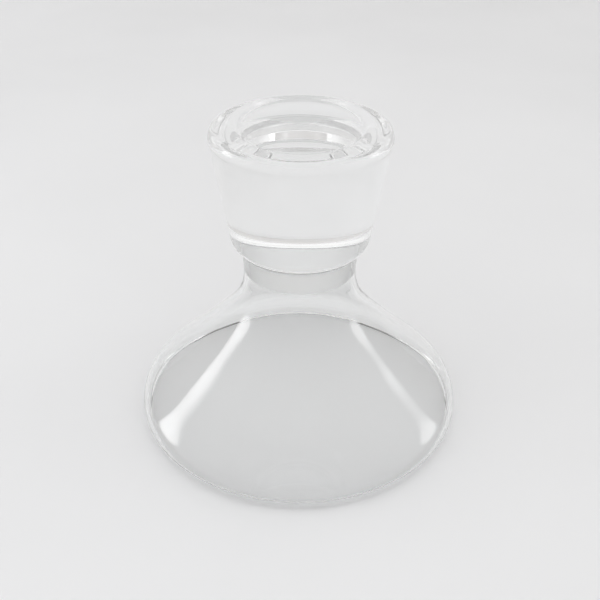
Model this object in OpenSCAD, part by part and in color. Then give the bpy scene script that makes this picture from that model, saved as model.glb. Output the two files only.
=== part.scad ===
// Squat stoppered glass flask: a wide, low, thin-walled blown body that sweeps up into a short
// wide neck, and a heavy solid stopper whose tapered plug sits in the ground mouth of the neck.
// Millimetres, +Z up. The origin is the centre of the foot, on the surface it stands on.

/* [Flask body] */
// Largest diameter, just above the foot
body_d = 122.6; // [121.6:0.2:125]
// Outer diameter of the ring that the flask stands on
foot_d = 120; // [116:0.2:121]
// Width of that ring
foot_w = 2.6; // [1.8:0.1:4]
// How far the underside is pushed up inside the ring
kick_h = 1.2; // [0.6:0.1:1.6]
// Thickness of the floor
floor_t = 1.5; // [1.2:0.1:1.8]
// Thickness of the blown wall
wall_t = 1.5; // [1.2:0.1:2]
// Height of the middle of the shoulder
deck_h = 28.8; // [26:0.2:34]
// Diameter at the middle of the shoulder
deck_d = 79.2; // [76:0.4:84]
// Slope of the shoulder there, in degrees
deck_slope = 46; // [44:1:52]

/* [Neck] */
// Height of the mouth
mouth_h = 70; // [69:0.5:76]
// Radius of the rounded lip
lip_r = 0.8; // [0.4:0.1:1]

/* [Ground joint] */
// Bore of the socket at the mouth
socket_d = 38.4; // [36:0.2:38.4]
// Length of the ground taper
taper_l = 9; // [7:0.5:12]
// Taper on diameter, one in this many
taper_ratio = 10; // [8:1:20]
// Clearance between plug and socket, measured on the radius
joint_gap = 0.04; // [0.02:0.01:0.1]

/* [Stopper] */
// Diameter over the rolled rim
head_d = 61.2; // [58:0.2:64]
// Height of the head above the mouth
head_h = 44; // [38:0.5:50]
// Radius of the rolled rim
rim_r = 3.1; // [2.4:0.1:4]
// Diameter of the head where its side meets the rounded bottom edge
head_foot_d = 50; // [46:0.2:53]
// Radius of that rounded edge
head_edge_r = 5.8; // [4:0.1:5.8]
// Diameter of the hollow in the top
dish_d = 41; // [34:0.5:44]
// Depth of that hollow
dish_h = 3.4; // [2.4:0.1:5]
// Air between the head and the mouth when the taper is seated
seat_gap = 0.4; // [0.2:0.1:1]

/* [Hidden] */
$fn = 96;

glass_clear = [0.86, 0.93, 0.95, 0.55];
glass_thick = [0.80, 0.90, 0.92, 0.70];

body_r = body_d / 2;
foot_r = foot_d / 2;
socket_r = socket_d / 2;
dish_r = dish_d / 2;

// Rounding between the foot ring and the wall
foot_edge = 1;
// Height of the widest place
belly_z = 4;
// Straight run of the outline above the widest place
belly_run = 6.5;
// Radius between wall and floor on the inside
heel_r = belly_z - kick_h - floor_t;
// Straight runs of the outline below and above the middle of the shoulder
deck_run_low = 24;
deck_run_high = 18.5;
// Straight run of the sweep below the neck
sweep_run = 12.8;

// Narrow end of the ground socket, which is also the throat of the flask
throat_z = mouth_h - taper_l;
throat_r = socket_r - taper_l / taper_ratio / 2;
// Break of the sharp corner at the socket's mouth
mouth_break = 0.3;

// The plug stops this far short of the throat, with a rounded end
plug_short = 0.6;
plug_edge_r = 1.2;
plug_z = throat_z + plug_short;
plug_r = socket_r - joint_gap;
plug_end_r = throat_r - joint_gap;

head_z = mouth_h + seat_gap;
top_z = head_z + head_h;
head_edge_x = head_foot_d / 2 - head_edge_r;
crest = [head_d / 2 - rim_r, top_z];
// Angles at which the head's side leaves its two rounded edges
side_low = -8;
side_high = -20;

// Edge of the hollow in the top, the run of the outline there, and the hollow's floor
dish_drop = 1.1;
dish_edge = [dish_r, top_z - dish_drop];
dish_run = [1, 0.8];
dish_lead = 2.4;
dish_flat = 7;
dish_z = top_z - dish_h;

// Points 1 to n of a cubic curve from a to d, which b and c pull
function curve(a, b, c, d, n = 12) = [for (i = [1:n]) let (u = i / n, v = 1 - u)
    v * v * v * a + 3 * v * v * u * b + 3 * v * u * u * c + u * u * u * d];

// Points along an arc from angle a0 to a1
function arc(x, z, r, a0, a1, n = 8) = [for (i = [0:n]) let (a = a0 + (a1 - a0) * i / n)
    [x + r * cos(a), z + r * sin(a)]];

// A line of points moved inwards by t, square to the line
function inset(p, t) = [for (i = [0:len(p) - 1])
    let (d = p[min(i + 1, len(p) - 1)] - p[max(i - 1, 0)])
    p[i] - t * [d[1], -d[0]] / norm(d)];

function reversed(p) = [for (i = [len(p) - 1:-1:0]) p[i]];

belly = [body_r, belly_z];
deck = [deck_d / 2, deck_h];
deck_up = [-cos(deck_slope), sin(deck_slope)];
neck_low = [throat_r + wall_t, throat_z];

// Outside of the blown body above its widest place: up to the shoulder, and on up to the neck
shell = concat(
    curve(belly, belly + [0, belly_run], deck - deck_run_low * deck_up, deck, 16),
    curve(deck, deck + deck_run_high * deck_up, neck_low - [0, sweep_run], neck_low, 16));
shell_inside = inset(concat([belly], shell), wall_t);

module flask_body() {
    color(glass_clear)
    rotate_extrude()
    polygon(concat(
        // underside: pushed-up middle, then the foot ring and its rounded edge
        [[0, kick_h], [foot_r - foot_w - kick_h, kick_h]],
        [[foot_r - foot_w, 0], [foot_r - foot_edge, 0]],
        curve([foot_r - foot_edge, 0], [foot_r, 0], belly - [0, belly_z - foot_edge], belly, 6),
        // outside wall, shoulder, neck and lip
        shell,
        arc(socket_r + wall_t - lip_r, mouth_h - lip_r, lip_r, 0, 90, 5),
        // ground socket
        [[socket_r + mouth_break, mouth_h], [socket_r, mouth_h - mouth_break]],
        // inside of the body, down to the heel and the floor
        reversed(shell_inside),
        arc(body_r - wall_t - heel_r, belly_z, heel_r, 0, -90, 5),
        [[0, kick_h + floor_t]]));
}

module stopper() {
    color(glass_thick)
    rotate_extrude()
    polygon(concat(
        // rounded end and ground side of the plug
        [[0, plug_z]],
        arc(plug_end_r - plug_edge_r, plug_z + plug_edge_r, plug_edge_r, -90, 0, 4),
        [[plug_r, mouth_h]],
        // underside, rounded edge and side of the head
        [[plug_r, head_z]],
        arc(head_edge_x, head_z + head_edge_r, head_edge_r, -90, side_low, 8),
        // rolled rim
        arc(crest[0], top_z - rim_r, rim_r, side_high, 90, 10),
        // hollow in the top
        curve(crest, [dish_r + dish_lead, top_z], dish_edge + dish_run, dish_edge, 5),
        curve(dish_edge, dish_edge - dish_lead * dish_run, [dish_r - dish_flat, dish_z], [0, dish_z], 8)));
}

flask_body();
stopper();
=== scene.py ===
"""Looks of the squat stoppered flask: two blown and ground glass pieces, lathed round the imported
frame, on a pale floor between two soft windows. Metres, +Z up, the camera in front at -Y."""

import math

import bmesh
import bpy
from mathutils import Euler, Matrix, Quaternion, Vector


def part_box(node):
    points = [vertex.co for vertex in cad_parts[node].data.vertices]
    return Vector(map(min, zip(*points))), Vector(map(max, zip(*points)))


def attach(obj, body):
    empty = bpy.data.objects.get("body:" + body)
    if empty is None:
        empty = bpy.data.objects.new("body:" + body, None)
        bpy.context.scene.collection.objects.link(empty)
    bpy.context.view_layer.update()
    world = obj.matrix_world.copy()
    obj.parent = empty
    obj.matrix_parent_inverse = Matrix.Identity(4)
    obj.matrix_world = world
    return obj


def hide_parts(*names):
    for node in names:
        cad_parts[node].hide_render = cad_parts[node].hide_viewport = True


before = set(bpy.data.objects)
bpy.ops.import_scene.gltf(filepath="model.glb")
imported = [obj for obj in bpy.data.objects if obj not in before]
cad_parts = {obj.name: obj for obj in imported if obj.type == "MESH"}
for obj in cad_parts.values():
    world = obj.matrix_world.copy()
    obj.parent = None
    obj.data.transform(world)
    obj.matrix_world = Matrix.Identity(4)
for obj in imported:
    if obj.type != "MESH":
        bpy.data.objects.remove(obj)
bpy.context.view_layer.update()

MM = 0.001
TAU = 2 * math.pi
INSIDE_BOX = 0.9998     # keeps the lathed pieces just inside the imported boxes
SEGMENTS = 224          # round the axis
FINE = 3                # points here for each point of the CAD outline

# ---------------------------------------------------------------- sizes, in millimetres

# From the frame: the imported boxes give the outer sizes.
flask_low, flask_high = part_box("flask_body")
stopper_low, stopper_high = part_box("stopper")
BODY_R = 61.3
FIT = min(flask_high.x, flask_high.y, -flask_low.x, -flask_low.y) / (BODY_R * MM) * INSIDE_BOX
MOUTH_H = flask_high.z / MM
TOP_Z = stopper_high.z / MM
PLUG_Z = stopper_low.z / MM
HEAD_R = stopper_high.x / MM

# The same named sizes as the CAD outline.
FOOT_R = 60.0
FOOT_W = 2.6
FOOT_EDGE = 1.0
KICK_H = 1.2
FLOOR_T = 1.5
WALL_T = 1.5
BELLY = (BODY_R, 4.0)
HEEL_R = BELLY[1] - KICK_H - FLOOR_T
FLOOR_SLACK = 0.01
BELLY_RUN = 6.5
DECK = (39.6, 28.8)
DECK_SLOPE = math.radians(46)
DECK_UP = (-math.cos(DECK_SLOPE), math.sin(DECK_SLOPE))
DECK_RUN_LOW = 24.0
DECK_RUN_HIGH = 18.5
SWEEP_RUN = 12.8
LIP_R = 0.8
SOCKET_R = 19.2
TAPER_L = 9.0
TAPER_RATIO = 10
THROAT_R = SOCKET_R - TAPER_L / (2 * TAPER_RATIO)
THROAT_Z = MOUTH_H - TAPER_L
MOUTH_BREAK = 0.3
JOINT_GAP = 0.04
PLUG_EDGE_R = 1.2
SEAT_GAP = 0.4
HEAD_Z = MOUTH_H + SEAT_GAP
HEAD_FOOT_R = 25.0
HEAD_EDGE_R = 5.8
RIM_R = 3.1
SIDE_LOW = -8           # degrees at which the head's side leaves its rounded edges
SIDE_HIGH = -20
DISH_R = 20.5
DISH_DROP = 1.1
DISH_H = 3.4
DISH_RUN = (1.0, 0.8)
DISH_LEAD = 2.4
DISH_FLAT = 7.0


# ---------------------------------------------------------------- outlines

def add(a, b, k=1.0):
    return (a[0] + k * b[0], a[1] + k * b[1])


def curve(a, b, c, d, n=12):
    """Points after a, up to d, of the cubic curve that b and c pull."""
    n *= FINE
    points = []
    for i in range(1, n + 1):
        u = i / n
        v = 1 - u
        weights = (v ** 3, 3 * v * v * u, 3 * v * u * u, u ** 3)
        points.append(tuple(sum(w * p[k] for w, p in zip(weights, (a, b, c, d))) for k in (0, 1)))
    return points


def arc(x, z, r, a0, a1, n=8):
    n *= FINE
    angles = [math.radians(a0 + (a1 - a0) * i / n) for i in range(n + 1)]
    return [(x + r * math.cos(a), z + r * math.sin(a)) for a in angles]


def line(a, b, n=6):
    """Points after a, up to b, on a straight line."""
    return [(a[0] + (b[0] - a[0]) * i / n, a[1] + (b[1] - a[1]) * i / n) for i in range(1, n + 1)]


def inset(points, t):
    """The line of points moved inwards by t, square to the line."""
    moved = []
    for i, p in enumerate(points):
        a = points[max(i - 1, 0)]
        b = points[min(i + 1, len(points) - 1)]
        dx, dz = b[0] - a[0], b[1] - a[1]
        length = math.hypot(dx, dz)
        moved.append((p[0] - t * dz / length, p[1] + t * dx / length))
    return moved


def flask_outline():
    """Closed outline of the thin-walled flask, from under its floor, out, up and back inside."""
    bowl = [BELLY]
    bowl += curve(BELLY, add(BELLY, (0, BELLY_RUN)), add(DECK, DECK_UP, -DECK_RUN_LOW), DECK, 16)
    neck = (THROAT_R + WALL_T, THROAT_Z)
    bowl += curve(DECK, add(DECK, DECK_UP, DECK_RUN_HIGH), add(neck, (0, -SWEEP_RUN)), neck, 16)
    inside = inset(bowl, WALL_T)
    ring_in = (FOOT_R - FOOT_W, 0.0)
    ring_out = (FOOT_R - FOOT_EDGE, 0.0)
    outline = [(0.0, KICK_H)]
    outline += line((0.0, KICK_H), (ring_in[0] - KICK_H, KICK_H), 12)
    outline += curve(outline[-1], add(ring_in, (-KICK_H / 2, KICK_H)),
                     add(ring_in, (-KICK_H / 2, 0)), ring_in, 4)
    outline += line(ring_in, ring_out, 3)
    outline += curve(ring_out, (FOOT_R, 0.0), (BODY_R, FOOT_EDGE), BELLY, 6)
    outline += bowl[1:]
    outline += line(outline[-1], (SOCKET_R + WALL_T, MOUTH_H - LIP_R), 8)
    outline += arc(SOCKET_R + WALL_T - LIP_R, MOUTH_H - LIP_R, LIP_R, 0, 90, 3)[1:]
    outline += line(outline[-1], (SOCKET_R + MOUTH_BREAK, MOUTH_H), 3)
    outline += line(outline[-1], (SOCKET_R, MOUTH_H - MOUTH_BREAK), 2)
    outline += line(outline[-1], (THROAT_R, THROAT_Z), 14)
    outline += list(reversed(inside))[1:]
    outline += arc(BODY_R - WALL_T - HEEL_R, BELLY[1], HEEL_R, 0, -90, 5)[1:]
    outline += line(outline[-1], (0.0, KICK_H + FLOOR_T), 12)
    return outline


def stopper_outline():
    """Closed outline of the solid stopper, from the end of its plug to the hollow in its top."""
    plug_end_r = THROAT_R - JOINT_GAP
    plug_r = SOCKET_R - JOINT_GAP
    edge_x = HEAD_FOOT_R - HEAD_EDGE_R
    crest = (HEAD_R - RIM_R, TOP_Z)
    dish_edge = (DISH_R, TOP_Z - DISH_DROP)
    dish_z = TOP_Z - DISH_H
    outline = [(0.0, PLUG_Z)]
    outline += line((0.0, PLUG_Z), (plug_end_r - PLUG_EDGE_R, PLUG_Z), 5)
    outline += arc(plug_end_r - PLUG_EDGE_R, PLUG_Z + PLUG_EDGE_R, PLUG_EDGE_R, -90, 0, 4)[1:]
    outline += line(outline[-1], (plug_r, MOUTH_H), 14)
    edge = arc(edge_x, HEAD_Z + HEAD_EDGE_R, HEAD_EDGE_R, -90, SIDE_LOW, 8)
    outline += [(plug_r, HEAD_Z)] + edge
    rim = arc(crest[0], TOP_Z - RIM_R, RIM_R, SIDE_HIGH, 90, 10)
    outline += line(outline[-1], rim[0], 16)
    outline += rim[1:]
    outline += curve(crest, (DISH_R + DISH_LEAD, TOP_Z), add(dish_edge, DISH_RUN), dish_edge, 5)
    outline += curve(dish_edge, add(dish_edge, DISH_RUN, -DISH_LEAD),
                     (DISH_R - DISH_FLAT, dish_z), (0.0, dish_z), 8)
    return outline


# ---------------------------------------------------------------- meshes

def without_repeats(outline):
    kept = [outline[0]]
    for p in outline[1:]:
        if math.hypot(p[0] - kept[-1][0], p[1] - kept[-1][1]) > 1e-5:
            kept.append(p)
    return kept


def lathe(name, outline):
    """Turns a closed outline, whose two ends lie on the axis, round +Z."""
    bm = bmesh.new()
    rings = []
    for r, z in without_repeats(outline):
        if r < 1e-6:
            rings.append([bm.verts.new((0.0, 0.0, z * MM))])
            continue
        ring = []
        for i in range(SEGMENTS):
            angle = TAU * i / SEGMENTS
            reach = r * FIT * MM
            ring.append(bm.verts.new((reach * math.cos(angle), reach * math.sin(angle), z * MM)))
        rings.append(ring)
    for low, high in zip(rings, rings[1:]):
        for i in range(SEGMENTS):
            j = (i + 1) % SEGMENTS
            if len(low) == 1:
                bm.faces.new((low[0], high[j], high[i]))
            elif len(high) == 1:
                bm.faces.new((low[i], low[j], high[0]))
            else:
                bm.faces.new((low[i], low[j], high[j], high[i]))
    bmesh.ops.recalc_face_normals(bm, faces=bm.faces)
    mesh = bpy.data.meshes.new(name)
    bm.to_mesh(mesh)
    bm.free()
    mesh.shade_smooth()
    mesh.set_sharp_from_angle(angle=math.radians(35))
    piece = bpy.data.objects.new(name, mesh)
    bpy.context.scene.collection.objects.link(piece)
    return piece


# ---------------------------------------------------------------- materials

def nodes_of(material):
    material.use_nodes = True
    tree = material.node_tree
    return tree, tree.nodes["Principled BSDF"], tree.nodes["Material Output"]


def glass(name, roughness, ripple, ripple_size, shadow):
    """Clear glass with a soft ripple in its surface. Light passes straight through it to what it
    stands on, so shadow is the share of light that one surface lets by."""
    material = bpy.data.materials.new(name)
    tree, shader, output = nodes_of(material)
    shader.inputs["Base Color"].default_value = (0.995, 1.0, 0.998, 1.0)
    shader.inputs["Roughness"].default_value = roughness
    shader.inputs["Transmission Weight"].default_value = 1.0
    shader.inputs["IOR"].default_value = 1.5
    coords = tree.nodes.new("ShaderNodeTexCoord")
    noise = tree.nodes.new("ShaderNodeTexNoise")
    noise.inputs["Scale"].default_value = 1 / (ripple_size * MM)
    noise.inputs["Detail"].default_value = 1.5
    bump = tree.nodes.new("ShaderNodeBump")
    bump.inputs["Strength"].default_value = 1.0
    bump.inputs["Distance"].default_value = ripple * MM
    tree.links.new(coords.outputs["Object"], noise.inputs["Vector"])
    tree.links.new(noise.outputs["Fac"], bump.inputs["Height"])
    tree.links.new(bump.outputs["Normal"], shader.inputs["Normal"])
    path = tree.nodes.new("ShaderNodeLightPath")
    clear = tree.nodes.new("ShaderNodeBsdfTransparent")
    clear.inputs["Color"].default_value = (shadow, shadow, shadow, 1.0)
    mix = tree.nodes.new("ShaderNodeMixShader")
    tree.links.new(path.outputs["Is Shadow Ray"], mix.inputs["Fac"])
    tree.links.new(shader.outputs["BSDF"], mix.inputs[1])
    tree.links.new(clear.outputs["BSDF"], mix.inputs[2])
    tree.links.new(mix.outputs["Shader"], output.inputs["Surface"])
    return material


def matt(name, low, high, size):
    """A pale matt surface whose tone drifts slowly between two greys."""
    material = bpy.data.materials.new(name)
    tree, shader, _ = nodes_of(material)
    shader.inputs["Roughness"].default_value = 0.9
    shader.inputs["Specular IOR Level"].default_value = 0.1
    coords = tree.nodes.new("ShaderNodeTexCoord")
    noise = tree.nodes.new("ShaderNodeTexNoise")
    noise.inputs["Scale"].default_value = 1 / size
    noise.inputs["Detail"].default_value = 3.0
    ramp = tree.nodes.new("ShaderNodeValToRGB")
    ramp.color_ramp.elements[0].position = 0.3
    ramp.color_ramp.elements[1].position = 0.7
    ramp.color_ramp.elements[0].color = (*low, 1.0)
    ramp.color_ramp.elements[1].color = (*high, 1.0)
    tree.links.new(coords.outputs["Object"], noise.inputs["Vector"])
    tree.links.new(noise.outputs["Fac"], ramp.inputs["Fac"])
    tree.links.new(ramp.outputs["Color"], shader.inputs["Base Color"])
    return material


def frost(piece, material, low, high, r_low, r_high):
    """Gives the ground faces of a piece, a band of it near the joint's radius, their own glass."""
    piece.data.materials.append(material)
    for face in piece.data.polygons:
        r = math.hypot(face.center.x, face.center.y) / MM
        if low < face.center.z / MM < high and r_low < r < r_high:
            face.material_index = 1


def thin_sheet(name, shine):
    """The flat floor: thin clear glass that light crosses straight, with a faint shine."""
    material = bpy.data.materials.new(name)
    tree, shader, output = nodes_of(material)
    shader.inputs["Base Color"].default_value = (1.0, 1.0, 1.0, 1.0)
    shader.inputs["Roughness"].default_value = 0.02
    shader.inputs["Metallic"].default_value = 1.0
    clear = tree.nodes.new("ShaderNodeBsdfTransparent")
    clear.inputs["Color"].default_value = (1.0, 1.0, 1.0, 1.0)
    mix = tree.nodes.new("ShaderNodeMixShader")
    mix.inputs["Fac"].default_value = shine
    tree.links.new(clear.outputs["BSDF"], mix.inputs[1])
    tree.links.new(shader.outputs["BSDF"], mix.inputs[2])
    tree.links.new(mix.outputs["Shader"], output.inputs["Surface"])
    return material


# ---------------------------------------------------------------- the two glass pieces

clear_glass = glass("clear_glass", 0.0, 0.02, 16, 0.985)
head_glass = glass("head_glass", 0.0, 0.02, 14, 0.985)
ground_glass = glass("ground_glass", 0.45, 0.02, 3, 0.97)

flask = lathe("flask", flask_outline())
flask.data.materials.append(clear_glass)
frost(flask, ground_glass, THROAT_Z, MOUTH_H + 0.1, THROAT_R - 0.5, SOCKET_R + 0.4)
floor_glass = thin_sheet("floor_glass", 0.03)
flask.data.materials.append(floor_glass)
for face in flask.data.polygons:
    low = face.center.z / MM < KICK_H + FLOOR_T + FLOOR_SLACK
    if low and math.hypot(face.center.x, face.center.y) / MM < BODY_R - WALL_T - HEEL_R:
        face.material_index = 2
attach(flask, "flask")
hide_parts("flask_body")

stopper = lathe("glass_stopper", stopper_outline())
stopper.data.materials.append(head_glass)
frost(stopper, ground_glass, PLUG_Z + PLUG_EDGE_R, MOUTH_H, THROAT_R - 0.5, SOCKET_R + 0.4)
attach(stopper, "stopper")
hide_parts("stopper")

# ---------------------------------------------------------------- floor and backdrop

STAGE_R = 3.0
FLOOR_DROP = 0.0002
BACK_Y = 0.9
BACK_H = 2.2


def stage(name, corners, material):
    mesh = bpy.data.meshes.new(name)
    mesh.from_pydata(corners, [], [tuple(range(len(corners)))])
    mesh.materials.append(material)
    plane = bpy.data.objects.new(name, mesh)
    bpy.context.scene.collection.objects.link(plane)


paper = matt("paper", (0.80, 0.80, 0.805), (0.84, 0.84, 0.845), 0.25)
wall = matt("wall", (0.78, 0.765, 0.755), (0.83, 0.82, 0.81), 0.3)
stage("floor", [(-STAGE_R, -STAGE_R, -FLOOR_DROP), (STAGE_R, -STAGE_R, -FLOOR_DROP),
                (STAGE_R, STAGE_R, -FLOOR_DROP), (-STAGE_R, STAGE_R, -FLOOR_DROP)], paper)
stage("backdrop", [(-STAGE_R, BACK_Y, 0), (STAGE_R, BACK_Y, 0),
                   (STAGE_R, BACK_Y, BACK_H), (-STAGE_R, BACK_Y, BACK_H)], wall)

# ---------------------------------------------------------------- light

FRONT_SKY = 0.8
BACK_SKY = 1.0
# Direction, half width in degrees and strength of each window
WINDOWS = (((-1.19, 0.18, 0.28), 14, 3.0), ((1.19, 0.18, 0.28), 11, 2.0))


def glow(tree, coords, direction, width, strength):
    """A soft bright patch of the sky, which the glass reflects as a window."""
    dot = tree.nodes.new("ShaderNodeVectorMath")
    dot.operation = "DOT_PRODUCT"
    dot.inputs[1].default_value = Vector(direction).normalized()
    tree.links.new(coords.outputs["Generated"], dot.inputs[0])
    fade = tree.nodes.new("ShaderNodeMapRange")
    fade.interpolation_type = "SMOOTHERSTEP"
    fade.inputs["From Min"].default_value = math.cos(math.radians(width))
    fade.inputs["From Max"].default_value = math.cos(math.radians(width * 0.3))
    fade.inputs["To Max"].default_value = strength
    tree.links.new(dot.outputs["Value"], fade.inputs["Value"])
    return fade.outputs["Result"]


def sky():
    """An even white sky, weaker on the camera's side, where the room is, with two soft windows."""
    world = bpy.data.worlds.new("sky")
    world.use_nodes = True
    bpy.context.scene.world = world
    tree = world.node_tree
    coords = tree.nodes.new("ShaderNodeTexCoord")
    split = tree.nodes.new("ShaderNodeSeparateXYZ")
    fade = tree.nodes.new("ShaderNodeMapRange")
    fade.interpolation_type = "SMOOTHSTEP"
    fade.inputs["From Min"].default_value = -0.75
    fade.inputs["From Max"].default_value = -0.1
    fade.inputs["To Min"].default_value = FRONT_SKY
    fade.inputs["To Max"].default_value = BACK_SKY
    background = tree.nodes["Background"]
    background.inputs["Color"].default_value = (1.0, 1.0, 1.0, 1.0)
    tree.links.new(coords.outputs["Generated"], split.inputs["Vector"])
    tree.links.new(split.outputs["Y"], fade.inputs["Value"])
    light = fade.outputs["Result"]
    for direction, width, strength in WINDOWS:
        both = tree.nodes.new("ShaderNodeMath")
        both.operation = "ADD"
        tree.links.new(light, both.inputs[0])
        tree.links.new(glow(tree, coords, direction, width, strength), both.inputs[1])
        light = both.outputs["Value"]
    tree.links.new(light, background.inputs["Strength"])


def window(name, place, size, power, colour):
    light = bpy.data.lights.new(name, "AREA")
    light.shape = "RECTANGLE"
    light.size = size
    light.size_y = size
    light.energy = power
    light.color = colour
    lamp = bpy.data.objects.new(name, light)
    bpy.context.scene.collection.objects.link(lamp)
    lamp.location = place
    lamp.visible_glossy = False
    lamp.visible_transmission = False
    aim = Vector((0.0, 0.0, 0.05)) - Vector(place)
    lamp.rotation_mode = "QUATERNION"
    lamp.rotation_quaternion = aim.to_track_quat("-Z", "Y")


sky()
window("window_left", (-1.1, -0.2, 0.9), 0.9, 3.0, (0.93, 0.96, 1.0))
window("window_right", (1.2, -0.2, 0.9), 0.6, 0.8, (1.0, 0.95, 0.85))

# ---------------------------------------------------------------- camera

PITCH = 34.04
ROLL = 0.5
camera_data = bpy.data.cameras.new("camera")
camera_data.sensor_width = 36
camera_data.lens = 48.68
camera = bpy.data.objects.new("camera", camera_data)
bpy.context.scene.collection.objects.link(camera)
camera.location = (0.00016, -0.2508, 0.2152)
camera.rotation_mode = "QUATERNION"
tilt = Euler((math.radians(90 - PITCH), 0.0, 0.0)).to_quaternion()
camera.rotation_quaternion = tilt @ Quaternion((0.0, 0.0, 1.0), math.radians(ROLL))
bpy.context.scene.camera = camera

# Thick glass needs many turns of a ray inside it before it is dark.
cycles = bpy.context.scene.cycles
cycles.max_bounces = 48
cycles.glossy_bounces = 32
cycles.transmission_bounces = 48
cycles.transparent_max_bounces = 48
bpy.context.scene.view_settings.view_transform = "Standard"
